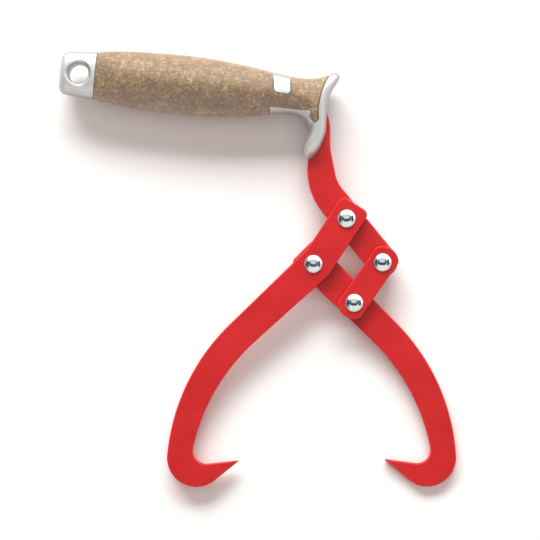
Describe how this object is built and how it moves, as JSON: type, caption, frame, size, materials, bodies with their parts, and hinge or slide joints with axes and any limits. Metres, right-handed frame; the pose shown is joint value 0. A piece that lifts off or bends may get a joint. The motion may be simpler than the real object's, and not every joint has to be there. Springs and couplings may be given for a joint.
{
  "type": "log tongs",
  "caption": "Lifting tongs for logs: flat red steel jaws with hooked points on a riveted scissor linkage, hung from a tapered cork grip with a finger guard and a hanging hole.",
  "frame": {"origin": "centre of the hanging hole, in the middle plane of the handle", "axes": "+X along the handle from the hanging hole to the finger guard, +Y from the hooks up to the handle, +Z through the plates towards the domed rivet heads, along the hanging hole"},
  "size_m": [0.2698, 0.2956, 0.0302],
  "materials": {
    "red_enamel": "satin red enamel on flat steel",
    "silver_moulding": "satin silver-grey moulding",
    "cork": "fine-grained cork composite, matt",
    "plated_rivet": "bright plated steel"
  },
  "bodies": {
    "handle": {"handle_bar": "red_enamel", "handle_core": "silver_moulding", "cork_grip": "cork", "end_cap": "silver_moulding", "rivet_top": "plated_rivet", "rivet_right": "plated_rivet"},
    "left_jaw": {"left_jaw": "red_enamel", "rivet_left": "plated_rivet"},
    "right_jaw": {"right_jaw": "red_enamel"},
    "link": {"link": "red_enamel", "rivet_bottom": "plated_rivet"}
  },
  "joints": [
    {"name": "left_jaw_hinge", "type": "hinge", "parent": "handle", "child": "left_jaw", "pos_m": [0.1815, -0.0981, 0], "axis": [0, 0, 1], "range_deg": [-46, 34]},
    {"name": "right_jaw_hinge", "type": "hinge", "parent": "left_jaw", "child": "right_jaw", "pos_m": [0.15906, -0.12876, 0], "axis": [0, 0, 1], "range_deg": [-34, 46]},
    {"name": "link_hinge", "type": "hinge", "parent": "handle", "child": "link", "pos_m": [0.20576, -0.12774, 0], "axis": [0, 0, 1], "range_deg": [-52, 38.5]}
  ],
  "couplings": [
    {"joint": "right_jaw_hinge", "follows": "left_jaw_hinge", "ratio": -0.9923},
    {"joint": "link_hinge", "follows": "left_jaw_hinge", "ratio": 1.1235}
  ]
}
